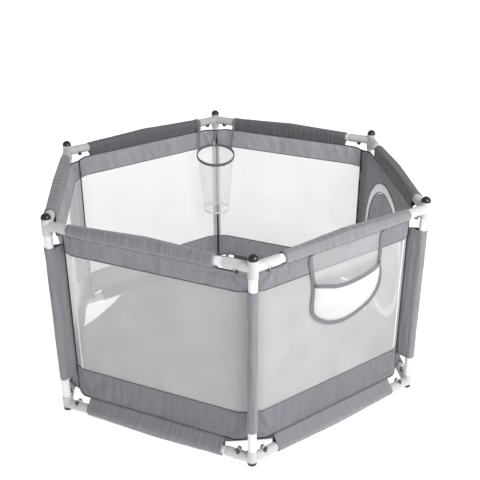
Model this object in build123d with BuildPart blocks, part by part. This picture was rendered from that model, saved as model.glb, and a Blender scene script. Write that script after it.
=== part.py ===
"""Folding six-sided playpen: tube frame with hinged rails, fabric and net walls, +Z up.

The origin is the middle of the pen on the floor it stands on. Post A stands at -Y, and the
posts run clockwise seen from above: A, B, C, D, E, F. A rail or wall is named after the two
posts it joins, as in ab. Every top rail folds down at its middle, every bottom rail folds
up, and the six posts then stand together in one bundle.
"""
import os
from math import cos, radians, sin, sqrt

from build123d import *

# Overall sizes
side = 620.0  # post axis to post axis
top_rail_z = 622.0  # height of the top rails' axis
bottom_rail_z = 20.0  # height of the bottom rails' axis
posts = "abcdef"

# Posts and their ends
tube_radius = 12.5
tube_wall = 1.2
moulded_wall = 2.0  # round a tube, in a hub's collar and in a rail's socket
collar_above = 22.5  # collar of a top hub above its rails' axis
collar_inward = 27.0  # collar of any hub from its rails' axis towards the post's middle
foot_height = 12.0
foot_lip = 1.3  # foot beyond the tube, on the radius
foot_chamfer = 1.5
cap_rim = 3.0  # straight rim of the domed cap
cap_dome = 12.5
plug_depth = 10.0

# Folding joints
fold_sum = 29.0  # height between a half rail's two pivots, the same for every rail
hub_pivot_out = 42.0  # from the post's axis to the pivot in a hub
top_mid_rise = 16.0  # mid pivot above a top rail's axis
bottom_mid_drop = 13.4  # mid pivot below a bottom rail's axis
socket_end = 80.0  # end of a socket, from the post's axis
socket_seat = 54.0  # where the tube stops inside its socket
mitre_near = 30.0  # the slanted end of a hub's arm, on the side away from the pivot
mitre_far = 46.0  # and on the pivot's side
web_thickness = 10.0  # tongue of a hub between the two cheeks of a socket
cheek_thickness = 4.6
knuckle_radius = 7.0
hinge_pin_radius = 2.5
mid_knuckle_radius = 4.6
mid_tongue = 8.0
mid_cheek = 4.5
mid_pin_radius = 2.0
mid_head = 12.0  # length of the moulded head of a mid joint, each side of the middle
mid_plug = 20.0  # length of its plug inside the tube

# Fabric
cloth = 2.5  # thickness of every fabric or net solid
sleeve_wall = 3.0  # a rail's or post's sleeve beyond its tube, on the radius
sleeve_start = 84.0  # rail sleeve, from the post's axis
knuckle_room = 16.0  # rail sleeve to the middle of the mid joint
hem_top_z = 594.0  # stitch line under a top rail's sleeve
band_top_z = 530.0  # lower edge of the top band, where the net starts
band_bottom_z = 147.0  # upper edge of the bottom band
hem_bottom_z = 58.0  # stitch line over a bottom rail's sleeve
wall_inset = 24.0  # wall face towards the pen's inside, from the rail's axis
hem_inset = 15.5  # the same where a sleeve is stitched
wall_end = 60.0  # where a wall leaves its plane for the corner seam, from the post's axis
seam_inset = 44.0  # corner seam, from the post's axis straight towards the pen's middle
post_sleeve_low = 114.0
post_sleeve_high = 556.0
floor_inset = 14.0
floor_corner = 112.0  # cut corner of the floor, from the post's axis towards the middle

# Zipped round door in wall ef
door_z = 336.0
door_radius = 193.4
zip_tape = 31.0
tape_thickness = 1.2
solid_band_low_z = 100.0  # wall ef is one flat solid sheet between these two heights
solid_band_high_z = 572.0
slider_turn = -140.0  # where the closed zip's slider rests, from the top of the door
slider_length = 14.0
slider_width = 9.0
slider_thickness = 2.4
pull_length = 20.0

# Net pocket on the outside of wall fa
pocket_middle = 275.0  # from post f along the wall
pocket_width = 257.0
pocket_depth = 25.0
pocket_low_z = 338.0
pocket_front_z = 487.0
pocket_back_z = 527.0
pocket_bend_z = 428.0  # where its straight sides turn into the round bottom
strap_width = 9.0
strap_thickness = 1.5
strap_top_z = 590.0

# Hoop and net at post d
hoop_inset = 125.0  # ring's middle, from the post's axis towards the pen's middle
hoop_z = 522.0
hoop_radius = 70.0
hoop_section = 4.0
hoop_tilt = 14.0
net_low_z = 304.0
net_low_radius = 48.5
net_wall = 2.0
hoop_strap_out = 88.0  # where a side strap meets its rail, from the post's axis
strap_short = 0.02  # how far a side strap stops short at each end, as a share of its length

# Clearances
running = 0.08  # pin in a hub or mid tongue, on the radius
open_pivot = 0.4  # the same where a closed chain of links is opened
seat = 0.05  # tube in a socket or collar, on the radius
gap = 0.6  # between the faces of two links
cheek_gap = 0.3  # web to cheek, each side
cloth_gap = 0.4  # fabric to the frame or to other fabric

middle = side / 2
collar_radius = tube_radius + moulded_wall
socket_radius = tube_radius + moulded_wall
socket_flat = tube_radius + cloth_gap  # underside of a bottom socket, which its other half folds against
foot_radius = tube_radius + foot_lip
sleeve_radius = tube_radius + sleeve_wall
tube_top_z = top_rail_z + collar_above
knuckle_clear = knuckle_radius + gap
mid_clear = mid_knuckle_radius + gap / 2


def post_point(index, z=0.0):
    """Where the axis of one post is, at height z."""
    turn = radians(-90 - 60 * index)
    return Vector(side * cos(turn), side * sin(turn), z)


def post_place(index, z=0.0):
    """A post's own frame: X points at the pen's middle."""
    point = post_point(index, z)
    return Plane(origin=point, x_dir=(-point.X, -point.Y, 0), z_dir=(0, 0, 1)).location


def wall_place(index, z=0.0, from_next=False):
    """The frame of the wall from one post to the next: X along it, +Y out of the pen.

    With from_next it starts at the next post instead, and +Y points into the pen.
    """
    start, end = post_point(index, z), post_point(index + 1, z)
    if from_next:
        start, end = end, start
    return Plane(origin=start, x_dir=end - start, z_dir=(0, 0, 1)).location


def write(name, solids):
    """Write one node, made of one or more separate solids."""
    node = Compound(label=name, children=solids)
    export_step(node, f"parts/{name}.step")


def mitre_x(rise):
    """The slanted face between a hub and its socket; rise is away from the pivot's side."""
    return (mitre_near + mitre_far) / 2 + (mitre_near - mitre_far) * rise / (2 * socket_radius)


def beyond_mitre(up, shift, outer):
    """Outline in X and Z of all that lies past the slanted face, or before it."""
    reach = 2 * socket_radius
    far_x = side if outer else -side
    corners = [(mitre_x(reach) + shift, reach), (far_x, reach), (far_x, -reach)]
    corners.append((mitre_x(-reach) + shift, -reach))
    return [(x, up * rise) for x, rise in corners]


def hub_pivot_drop(up):
    """How far a hub's pivot lies from its rail's axis, towards the post's middle."""
    return fold_sum - (top_mid_rise if up > 0 else bottom_mid_drop)


def hub_arm(up):
    """One arm of a hub, along +X from the post's axis, with the tongue the socket turns on."""
    pivot = (hub_pivot_out, -up * hub_pivot_drop(up))
    with BuildPart() as arm:
        with BuildSketch(Plane.YZ):
            Circle(socket_radius)
        extrude(amount=mitre_far + socket_radius)
        with BuildSketch(Plane.XZ):
            Polygon(*beyond_mitre(up, 0, outer=True), align=None)
        extrude(amount=side, both=True, mode=Mode.SUBTRACT)
        for face in (1, -1):
            with BuildSketch(Plane.XZ.offset(face * web_thickness / 2)):
                with Locations(pivot):
                    Circle(knuckle_clear)
            extrude(amount=face * side, mode=Mode.SUBTRACT)
        with BuildSketch(Plane.XZ):
            with Locations(pivot):
                Circle(knuckle_radius)
        extrude(amount=web_thickness / 2, both=True)
        with BuildSketch(Plane.XZ):
            with Locations(pivot):
                Circle(hinge_pin_radius + running)
        extrude(amount=web_thickness, both=True, mode=Mode.SUBTRACT)
    return arm.part


def hub(up):
    """A hub in its post's frame, with the rails' axis at z = 0: collar and two arms."""
    arm = hub_arm(up)
    low = -collar_inward if up > 0 else foot_height - bottom_rail_z
    high = collar_above if up > 0 else collar_inward
    with BuildPart() as body:
        with BuildSketch(Plane.XY.offset(low)):
            Circle(collar_radius)
        extrude(amount=high - low)
        with PolarLocations(0, 2, start_angle=-60, angular_range=120, endpoint=True):
            add(arm)
        if up < 0:
            with BuildSketch(Plane.XY.offset(low)):
                Circle(foot_radius + gap)
            extrude(amount=-collar_inward, mode=Mode.SUBTRACT)
        with BuildSketch(Plane.XY.offset(-side / 2)):
            Circle(tube_radius + seat)
        extrude(amount=side, mode=Mode.SUBTRACT)
    return body.part


def post_tube():
    with BuildPart() as tube:
        with BuildSketch(Plane.XY.offset(foot_height)):
            Circle(tube_radius)
            Circle(tube_radius - tube_wall, mode=Mode.SUBTRACT)
        extrude(amount=tube_top_z - foot_height)
    return tube.part


def top_cap():
    """The black domed cap, with the plug that holds it in the tube."""
    plug = tube_radius - tube_wall - seat
    with BuildPart() as cap:
        with BuildSketch(Plane.XZ):
            with BuildLine():
                Polyline(
                    (0, tube_top_z + cap_rim + cap_dome),
                    (0, tube_top_z - plug_depth),
                    (plug, tube_top_z - plug_depth),
                    (plug, tube_top_z),
                    (collar_radius, tube_top_z),
                    (collar_radius, tube_top_z + cap_rim),
                )
                TangentArc(
                    (0, tube_top_z + cap_rim + cap_dome),
                    (collar_radius, tube_top_z + cap_rim),
                    tangent=(1, 0),
                )
            make_face()
        revolve(axis=Axis.Z)
    return cap.part


def foot():
    """The black rubber foot, with its plug."""
    with BuildPart() as pad:
        Cylinder(foot_radius, foot_height, align=(Align.CENTER, Align.CENTER, Align.MIN))
        chamfer(pad.edges().group_by(Axis.Z)[0], foot_chamfer)
        with BuildSketch(Plane.XY.offset(foot_height)):
            Circle(tube_radius - tube_wall - seat)
        extrude(amount=plug_depth)
    return pad.part


def rail_socket(up):
    """The moulded end of a half rail, which turns on the hub's tongue."""
    pivot = (hub_pivot_out, -up * hub_pivot_drop(up))
    cheek_in = web_thickness / 2 + cheek_gap
    with BuildPart() as socket:
        with BuildSketch(Plane.YZ):
            Circle(socket_radius)
        extrude(amount=socket_end)
        if up < 0:
            with BuildSketch(Plane.XY.offset(-socket_flat)):
                Rectangle(side, side)
            extrude(amount=-socket_radius, mode=Mode.SUBTRACT)
        with BuildSketch(Plane.XZ):
            Polygon(*beyond_mitre(up, gap, outer=False), align=None)
        extrude(amount=side, both=True, mode=Mode.SUBTRACT)
        for face in (1, -1):
            with BuildSketch(Plane.XZ.offset(face * cheek_in)):
                with Locations(pivot):
                    Circle(knuckle_radius)
            extrude(amount=face * cheek_thickness)
        with BuildSketch(Plane.XZ):
            with Locations(pivot):
                Circle(knuckle_clear)
        extrude(amount=cheek_in, both=True, mode=Mode.SUBTRACT)
        with BuildSketch(Plane.XZ):
            with Locations(pivot):
                Circle(hinge_pin_radius)
        extrude(amount=side, both=True, mode=Mode.SUBTRACT)
        with BuildSketch(Plane.YZ.offset(socket_seat)):
            Circle(tube_radius + seat)
        extrude(amount=socket_end, mode=Mode.SUBTRACT)
    return socket.part


def cross_pin(x, z, radius, length):
    """A pin across the rail."""
    with BuildPart() as pin:
        with BuildSketch(Plane.XZ):
            with Locations((x, z)):
                Circle(radius)
        extrude(amount=length / 2, both=True)
    return pin.part


def rail_tube():
    with BuildPart() as tube:
        with BuildSketch(Plane.YZ.offset(socket_seat)):
            Circle(tube_radius)
            Circle(tube_radius - tube_wall, mode=Mode.SUBTRACT)
        extrude(amount=middle - mid_head - socket_seat)
    return tube.part


def mid_fitting(up, fork, hole):
    """The moulded end at the middle of a rail: a fork, or the tongue that fits in it."""
    lift = top_mid_rise if up > 0 else bottom_mid_drop
    pivot = (middle, up * lift)
    face = middle - gap / 2
    half_tongue = mid_tongue / 2
    cheek_in = half_tongue + cheek_gap
    neck = [(face - mid_head + gap, tube_radius / 2), (face, tube_radius / 2), (face, lift)]
    neck.append((middle - mid_knuckle_radius, lift))
    neck = [(x, up * z) for x, z in neck]
    with BuildPart() as end:
        with BuildSketch(Plane.YZ.offset(middle - mid_head)):
            Circle(tube_radius)
        extrude(amount=mid_head - gap / 2)
        with BuildSketch(Plane.YZ.offset(middle - mid_head - mid_plug)):
            Circle(tube_radius - tube_wall - seat)
        extrude(amount=mid_plug)
        lanes = [(-half_tongue, half_tongue)]
        if fork:
            lanes = [(cheek_in, cheek_in + mid_cheek), (-cheek_in - mid_cheek, -cheek_in)]
        for low, high in lanes:
            with BuildSketch(Plane.XZ.offset(-low)):
                Polygon(*neck, align=None)
                with Locations(pivot):
                    Circle(mid_knuckle_radius)
            extrude(amount=low - high)
        # room for the other half's knuckle to turn in
        if fork:
            with BuildSketch(Plane.XZ):
                with Locations(pivot):
                    Circle(mid_clear)
            extrude(amount=cheek_in, both=True, mode=Mode.SUBTRACT)
        else:
            for turn in (1, -1):
                with BuildSketch(Plane.XZ.offset(turn * half_tongue)):
                    with Locations(pivot):
                        Circle(mid_clear)
                extrude(amount=turn * side, mode=Mode.SUBTRACT)
        with BuildSketch(Plane.XZ):
            with Locations(pivot):
                Circle(hole)
        extrude(amount=side, both=True, mode=Mode.SUBTRACT)
    return end.part


def half_rail(up, fork, opened):
    """The separate solids of half a rail, along +X from the post's axis, rail axis at z = 0."""
    lift = top_mid_rise if up > 0 else bottom_mid_drop
    pin_length = web_thickness + 2 * (cheek_gap + cheek_thickness)
    hole = mid_pin_radius if fork else mid_pin_radius + (open_pivot if opened else running)
    solids = [
        rail_socket(up),
        cross_pin(hub_pivot_out, -up * hub_pivot_drop(up), hinge_pin_radius, pin_length),
        rail_tube(),
        mid_fitting(up, fork, hole),
    ]
    if fork:
        pin_length = mid_tongue + 2 * (cheek_gap + mid_cheek)
        solids.append(cross_pin(middle, up * lift, mid_pin_radius, pin_length))
    return solids


def rail_sleeve(axis_z, tab_z, start, end):
    """A sleeve round a rail with the hem that hangs or stands from it, start to end along X."""
    with BuildPart() as sleeve:
        with BuildSketch(Plane.YZ.offset(start)):
            with Locations((0, axis_z)):
                Circle(sleeve_radius)
            with Locations((-hem_inset, axis_z)):
                across = Align.MIN
                along = Align.MIN if tab_z > axis_z else Align.MAX
                Rectangle(cloth, abs(tab_z - axis_z), align=(across, along))
            with Locations((0, axis_z)):
                Circle(tube_radius + cloth_gap, mode=Mode.SUBTRACT)
        extrude(amount=end - start)
    return sleeve.part


def sloped_sheet(inset_1, z_1, inset_2, z_2, start, end):
    """A flat sheet along X between two heights, each with its own inset."""
    corners = [(-inset_1, z_1), (cloth - inset_1, z_1), (cloth - inset_2, z_2), (-inset_2, z_2)]
    with BuildPart() as sheet:
        with BuildSketch(Plane.YZ.offset(start)):
            Polygon(*corners, align=None)
        extrude(amount=end - start)
    return sheet.part


def corner_sheet(z_1, z_2):
    """The flat end of a wall, from its main sheet to the corner seam, at the start of X."""
    seam = Vector(seam_inset * cos(radians(60)), -seam_inset * sin(radians(60)))
    root = Vector(wall_end, cloth / 2 - wall_inset)
    along = (seam - root).normalized()
    across = Vector(-along.Y, along.X) * (cloth / 2)
    tip = seam - along * (cloth / 2 + 2 * cloth_gap)
    corners = [root + across, root - across, tip - across, tip + across]
    with BuildPart() as sheet:
        with BuildSketch(Plane.XY.offset(z_1)):
            Polygon(*[(p.X, p.Y) for p in corners], align=None)
        extrude(amount=z_2 - z_1)
        # the main sheet starts here
        with BuildSketch(Plane.XY.offset(z_1)):
            with Locations((wall_end, 0)):
                Rectangle(side, side, align=(Align.MIN, Align.CENTER))
        extrude(amount=z_2 - z_1, mode=Mode.SUBTRACT)
    return sheet.part


def post_sleeve():
    """The sleeve round a post and its flap to the corner seam, in the post's frame."""
    with BuildPart() as sleeve:
        with BuildSketch(Plane.XY.offset(post_sleeve_low)):
            Circle(sleeve_radius)
            Rectangle(seam_inset - cloth_gap, cloth, align=(Align.MIN, Align.CENTER))
            Circle(tube_radius + cloth_gap, mode=Mode.SUBTRACT)
        extrude(amount=post_sleeve_high - post_sleeve_low)
    return sleeve.part


def door_sheet():
    """The flat sheet of wall ef, with the round opening of its door and the zip's tape."""
    with BuildPart() as sheet:
        with BuildSketch(Plane.XZ.offset(wall_inset - cloth)):
            with Locations((middle, (solid_band_low_z + solid_band_high_z) / 2)):
                Rectangle(side - 2 * wall_end, solid_band_high_z - solid_band_low_z)
            with Locations((middle, door_z)):
                Circle(door_radius + cloth_gap, mode=Mode.SUBTRACT)
        extrude(amount=cloth)
    with BuildPart() as tape:
        with BuildSketch(Plane.XZ.offset(wall_inset)):
            with Locations((middle, door_z)):
                Circle(door_radius + cloth_gap + zip_tape)
                Circle(door_radius + cloth_gap, mode=Mode.SUBTRACT)
        extrude(amount=tape_thickness)
    return [sheet.part, tape.part]


def wall(index):
    """The separate solids of one wall, in its own frame, and the sleeve of its first post."""
    with_door = posts[index] == "e"
    low_z = solid_band_low_z if with_door else band_bottom_z
    high_z = solid_band_high_z if with_door else band_top_z
    ends = (wall_end, side - wall_end)
    solids = [
        rail_sleeve(top_rail_z, hem_top_z, sleeve_start, middle - knuckle_room),
        rail_sleeve(top_rail_z, hem_top_z, middle + knuckle_room, side - sleeve_start),
        rail_sleeve(bottom_rail_z, hem_bottom_z, sleeve_start, middle - knuckle_room),
        rail_sleeve(bottom_rail_z, hem_bottom_z, middle + knuckle_room, side - sleeve_start),
        sloped_sheet(wall_inset, high_z, hem_inset, hem_top_z, *ends),
        sloped_sheet(hem_inset, hem_bottom_z, wall_inset, low_z, *ends),
    ]
    if with_door:
        solids += door_sheet()
    else:
        solids.append(sloped_sheet(wall_inset, low_z, wall_inset, high_z, *ends))
    corner = corner_sheet(hem_bottom_z, hem_top_z)
    solids += [corner, corner.mirror(Plane.YZ.offset(middle))]
    placed = [solid.moved(wall_place(index)) for solid in solids]
    return placed + [post_sleeve().moved(post_place(index))]


def floor_sheet():
    """The floor: a hexagon whose corners are cut off short of the hubs."""
    reach = side - 2 * floor_inset / sqrt(3)
    cut = side - floor_corner
    with BuildPart() as sheet:
        with BuildSketch():
            RegularPolygon(reach, 6, rotation=30)
            RegularPolygon(cut, 6, rotation=0, major_radius=False, mode=Mode.INTERSECT)
        extrude(amount=cloth)
    return sheet.part


def door_flap():
    """The round door, in the frame of wall ef."""
    with BuildPart() as flap:
        with BuildSketch(Plane.XZ.offset(wall_inset - cloth)):
            with Locations((middle, door_z)):
                Circle(door_radius)
        extrude(amount=cloth)
    return flap.part


def zip_slider():
    """The zip's slider and pull, in the frame of wall ef, where the closed zip leaves it."""
    turn = radians(slider_turn)
    track = door_radius + cloth_gap + slider_width / 2
    place = Plane(
        origin=(middle + track * sin(turn), -wall_inset - tape_thickness, door_z + track * cos(turn)),
        x_dir=(cos(turn), 0, -sin(turn)),
        z_dir=(0, -1, 0),
    )
    with BuildPart() as slider:
        with BuildSketch(place.offset(cloth_gap / 2)):
            RectangleRounded(slider_length, slider_width, slider_width / 3)
            with Locations((slider_length / 2, 0)):
                Rectangle(pull_length, slider_width / 2, align=(Align.MIN, Align.CENTER))
        extrude(amount=slider_thickness)
    return slider.part


def pocket_outline(top_z, inner):
    """The pouch's outline seen from outside: straight sides and a half-round bottom."""
    half = pocket_width / 2 - inner
    with BuildSketch() as outline:
        with BuildLine():
            Polyline(
                (pocket_middle - half, pocket_bend_z),
                (pocket_middle - half, top_z),
                (pocket_middle + half, top_z),
                (pocket_middle + half, pocket_bend_z),
            )
            EllipticalCenterArc(
                (pocket_middle, pocket_bend_z),
                half,
                pocket_bend_z - pocket_low_z - inner,
                start_angle=180,
                arc_size=180,
            )
        make_face()
    return outline.sketch


def pocket():
    """The pouch and its two straps, in the frame of wall fa, on the wall's outer face."""
    back_y = cloth - wall_inset + 2 * cloth_gap
    with BuildPart() as pouch:
        with BuildSketch(Plane.XZ.offset(-back_y)):
            add(pocket_outline(pocket_front_z, 0))
        extrude(amount=-pocket_depth)
        with BuildSketch(Plane.XZ.offset(-back_y - cloth)):
            add(pocket_outline(pocket_front_z + cloth, cloth))
        extrude(amount=2 * cloth - pocket_depth, mode=Mode.SUBTRACT)
        with BuildSketch(Plane.XZ.offset(-back_y)):
            add(pocket_outline(pocket_back_z, 0))
        extrude(amount=-cloth)
    slope = (wall_inset - hem_inset) / (hem_top_z - band_top_z)
    top_y = back_y + slope * (strap_top_z - pocket_back_z)
    section = [(back_y, pocket_back_z), (back_y + strap_thickness, pocket_back_z)]
    section += [(top_y + strap_thickness, strap_top_z), (top_y, strap_top_z)]
    solids = [pouch.part]
    half = pocket_width / 2
    for left in (pocket_middle - half, pocket_middle + half - strap_width):
        with BuildPart() as strap:
            with BuildSketch(Plane.YZ.offset(left)):
                Polygon(*section, align=None)
            extrude(amount=strap_width)
        solids.append(strap.part)
    return solids


def hoop_plane():
    """The ring's plane in the frame of post d, lower on the side of the pen's middle."""
    lean = radians(hoop_tilt)
    return Plane(
        origin=(hoop_inset, 0, hoop_z), x_dir=(cos(lean), 0, -sin(lean)), z_dir=(sin(lean), 0, cos(lean))
    )


def hoop_ring():
    """The ring, and the two straps that hold its sides to the top rails."""
    ring_plane = hoop_plane()
    with BuildPart() as ring:
        with BuildSketch(Plane(ring_plane.origin, ring_plane.x_dir, (0, -1, 0))):
            with Locations((hoop_radius, 0)):
                Circle(hoop_section)
        revolve(axis=Axis(ring_plane.origin, ring_plane.z_dir))
    solids = [ring.part]
    for face in (1, -1):
        turn = radians(60 * face)
        inward = hem_inset + 2 * strap_thickness
        top = Vector(
            hoop_strap_out * cos(turn) + inward * sin(radians(60)),
            hoop_strap_out * sin(turn) - face * inward * cos(radians(60)),
            hem_top_z,
        )
        low = Vector(hoop_inset, face * (hoop_radius + hoop_section), hoop_z)
        run = top - low
        strap_plane = Plane(low + run * strap_short, x_dir=(-run.Y, run.X, 0), z_dir=run)
        with BuildPart() as strap:
            with BuildSketch(strap_plane):
                Rectangle(strap_width, strap_thickness)
            extrude(amount=run.length * (1 - 2 * strap_short))
        solids.append(strap.part)
    return solids


def hoop_net():
    """The open net under the ring: a round taper, cut level with the tilted ring."""
    high_z = hoop_z + hoop_radius
    taper = (hoop_radius - net_low_radius) / (hoop_z - net_low_z)
    high_radius = net_low_radius + taper * (high_z - net_low_z) - hoop_section
    with BuildPart() as net:
        for inner, mode in ((0, Mode.ADD), (net_wall, Mode.SUBTRACT)):
            with BuildSketch(Plane((hoop_inset, 0, net_low_z))):
                Circle(net_low_radius - inner)
            with BuildSketch(Plane((hoop_inset, 0, high_z))):
                Circle(high_radius - inner)
            loft(mode=mode)
        below = hoop_plane().offset(-hoop_section - cloth_gap)
        split(bisect_by=below, keep=Keep.BOTTOM)
    return net.part


os.makedirs("parts", exist_ok=True)

# Posts, hubs and ends
top_hub, bottom_hub = hub(1), hub(-1)
ends = [top_cap(), foot()]
for i, letter in enumerate(posts):
    write(f"post_{letter}", [post_tube().moved(post_place(i))])
    write(f"top_hub_{letter}", [top_hub.moved(post_place(i, top_rail_z))])
    write(f"bottom_hub_{letter}", [bottom_hub.moved(post_place(i, bottom_rail_z))])
    write(f"end_caps_{letter}", [end.moved(post_place(i)) for end in ends])

# Rails, in halves
for i, letter in enumerate(posts):
    pair = letter + posts[(i + 1) % 6]
    for level, up, rail_z in (("top", 1, top_rail_z), ("bottom", -1, bottom_rail_z)):
        opened = up < 0 or pair == "de"
        for from_next in (False, True):
            solids = half_rail(up, fork=not from_next, opened=opened)
            place = wall_place(i, rail_z, from_next)
            write(f"{level}_rail_{pair}_{pair[from_next]}", [s.moved(place) for s in solids])

# Walls and floor
for i, letter in enumerate(posts):
    write(f"wall_{letter}{posts[(i + 1) % 6]}", wall(i))
write("floor", [floor_sheet()])

# Door, pocket and hoop
write("door_flap", [door_flap().moved(wall_place(posts.index("e")))])
write("zip_slider", [zip_slider().moved(wall_place(posts.index("e")))])
write("pocket", [solid.moved(wall_place(posts.index("f"))) for solid in pocket()])
write("hoop_ring", [solid.moved(post_place(posts.index("d"))) for solid in hoop_ring()])
write("hoop_net", [hoop_net().moved(post_place(posts.index("d")))])
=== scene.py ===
"""Folding six-sided playpen: its cloth, nets, bindings and finishes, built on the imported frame.

The add-on draws what is sewn (rail and post sleeves, bands, nets, floor, round zipped door,
pocket and ball hoop) and gives the tubes, moulded joints and caps their finishes.
All positions are in metres. The walls run clockwise seen from above: ab, bc, cd, de, ef, fa.
"""

import math

import bpy
import numpy as np
from mathutils import Matrix, Vector


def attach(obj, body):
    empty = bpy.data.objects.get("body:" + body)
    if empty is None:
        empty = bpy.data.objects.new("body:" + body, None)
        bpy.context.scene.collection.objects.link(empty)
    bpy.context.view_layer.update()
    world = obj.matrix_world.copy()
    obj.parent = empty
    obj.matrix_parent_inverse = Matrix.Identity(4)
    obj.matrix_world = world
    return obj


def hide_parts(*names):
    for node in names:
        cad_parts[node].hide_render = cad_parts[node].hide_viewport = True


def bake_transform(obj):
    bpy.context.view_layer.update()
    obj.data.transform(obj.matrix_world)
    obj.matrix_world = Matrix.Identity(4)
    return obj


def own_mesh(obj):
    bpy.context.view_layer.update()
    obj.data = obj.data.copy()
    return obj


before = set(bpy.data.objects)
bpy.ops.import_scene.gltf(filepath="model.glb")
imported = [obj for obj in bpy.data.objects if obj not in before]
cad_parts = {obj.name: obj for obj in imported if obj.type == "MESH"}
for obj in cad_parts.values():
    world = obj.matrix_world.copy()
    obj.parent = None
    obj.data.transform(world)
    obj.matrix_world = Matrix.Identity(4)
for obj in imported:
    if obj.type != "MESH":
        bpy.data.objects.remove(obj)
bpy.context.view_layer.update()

bl_info = {
    "name": "Folding playpen",
    "version": (1, 0, 0),
    "blender": (4, 5, 0),
    "location": "View3D > Sidebar > Playpen",
    "description": "Sewn parts and finishes of a folding six-sided playpen",
    "category": "Add Mesh",
}

# The frame that the cloth is sewn round
POSTS = "abcdef"
SIDE = 0.620
MIDDLE = SIDE / 2
TOP_RAIL_Z, LOW_RAIL_Z = 0.622, 0.020
SOCKET_END = 0.0803
SOCKET_RADIUS = 0.0145
HUB_PIVOT_OUT = 0.042
PIVOT_DROP, PIVOT_RISE = 0.013, 0.0156
MITRE_MIDDLE, MITRE_SLOPE = 0.038, 0.008 / SOCKET_RADIUS

# Sewing lines
STITCH_TOP_Z, STITCH_LOW_Z = 0.594, 0.057
BAND_LOW_Z, SKIRT_TOP_Z = 0.530, 0.147
SEAM_INWARD = 0.044  # corner seam, from a post's axis towards the pen's middle
SEAM_ALONG, SEAM_INSET = 0.022, 0.0381  # the same seam in a wall's own frame
SLEEVE_RADIUS = 0.0158
POST_SLEEVE_RADIUS = 0.0134
KNUCKLE_TOP, KNUCKLE_LOW = 0.0212, 0.0184  # how far a sleeve has to clear a mid joint
FACE_HEIGHTS = (0.0, 0.057, 0.085, 0.147, 0.530, 0.575, 0.594, 0.7)
FACE_INSETS = (0.0125, 0.0125, 0.0178, 0.0226, 0.0226, 0.0178, 0.0132, 0.0132)
SOLID_HEIGHTS = (0.0, 0.057, 0.100, 0.572, 0.594, 0.7)
SOLID_INSETS = (0.0125, 0.0125, 0.0228, 0.0228, 0.0140, 0.0140)
CORNER_TURN = 0.036  # length over which a wall leaves its corner seam for its flat face
NET_HEM_ALONG = 0.052  # side hem of a net, from its post

# Where each rail's sleeve starts and ends, from the wall's first post
TOP_SLEEVES = {
    "ab": (0.104, 0.548), "bc": (0.080, 0.540), "cd": (0.078, 0.541),
    "de": (0.084, 0.528), "ef": (0.106, 0.543), "fa": (0.074, 0.526),
}
LOW_SLEEVES = {
    "ab": (0.090, 0.540), "bc": (0.082, 0.538), "cd": (0.082, 0.538),
    "de": (0.082, 0.538), "ef": (0.084, 0.538), "fa": (0.080, 0.536),
}

FLOOR_CORNER = 0.096  # the floor's cut corners, from a post's axis

# Round door, in the frame of wall ef
DOOR_Z, DOOR_RADIUS = 0.336, 0.1925
TAPE_INNER, TAPE_OUTER = 0.1960, 0.2262
SLIDER_TURN = math.radians(-140)

# Pocket, in the frame of wall fa measured back from post a
POCKET_EDGE = (
    (0.2200, 0.4920), (0.2195, 0.4620), (0.2172, 0.4310), (0.2194, 0.4080), (0.2260, 0.3940),
    (0.2425, 0.3773), (0.2695, 0.3593), (0.2900, 0.3510), (0.3160, 0.3445), (0.3468, 0.3429),
    (0.3700, 0.3460), (0.3960, 0.3535), (0.4220, 0.3625), (0.4435, 0.3750), (0.4617, 0.3935),
    (0.4715, 0.4120), (0.4744, 0.4350), (0.4727, 0.4600), (0.4670, 0.4880),
)
POCKET_LIP = (
    (0.2200, 0.4920), (0.2499, 0.4876), (0.2823, 0.4795), (0.3180, 0.4765), (0.3522, 0.4777),
    (0.3890, 0.4805), (0.4224, 0.4835), (0.4470, 0.4870), (0.4670, 0.4880),
)
POCKET_STRAPS = (((0.1985, 0.5940), (0.2030, 0.5640), (0.2100, 0.5400), (0.2200, 0.4920)),
                 ((0.4610, 0.5940), (0.4650, 0.5600), (0.4680, 0.5300), (0.4670, 0.4880)))
POCKET_BULGE = 0.024

# Ball hoop at post d, in that post's frame
HOOP_INWARD, HOOP_Z, HOOP_RADIUS, HOOP_TILT = 0.125, 0.523, 0.070, math.radians(14)
HOOP_ASIDE = -0.010
NET_LOW_Z, NET_LOW_RADIUS = 0.300, 0.0490
STRAP_ALONG = 0.0875


class PLAYPEN_PG_sizes(bpy.types.PropertyGroup):
    """Cloth sizes that a maker would change."""

    cloth_thickness: bpy.props.FloatProperty(
        name="Cloth thickness", description="Thickness of the grey cloth",
        default=0.0008, min=0.0003, max=0.002, unit="LENGTH", precision=4)
    crease_depth: bpy.props.FloatProperty(
        name="Crease depth", description="How deep the soft creases in the bands are",
        default=0.0019, min=0.0, max=0.004, unit="LENGTH", precision=4)
    weave_pitch: bpy.props.FloatProperty(
        name="Weave pitch", description="Distance between threads of the grey cloth",
        default=0.0011, min=0.0004, max=0.004, unit="LENGTH", precision=4)
    net_pitch: bpy.props.FloatProperty(
        name="Net pitch", description="Distance between the holes of the net",
        default=0.0024, min=0.001, max=0.008, unit="LENGTH", precision=4)
    stitch_pitch: bpy.props.FloatProperty(
        name="Stitch pitch", description="Length of one stitch on seams and bindings",
        default=0.0032, min=0.001, max=0.01, unit="LENGTH", precision=4)
    binding_width: bpy.props.FloatProperty(
        name="Binding width", description="Width of the bindings of pocket and hoop",
        default=0.0130, min=0.006, max=0.02, unit="LENGTH", precision=4)


def colour_property(name, description, default):
    return bpy.props.FloatVectorProperty(
        name=name, description=description, default=default, subtype="COLOR",
        size=3, min=0.0, max=1.0)


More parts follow.
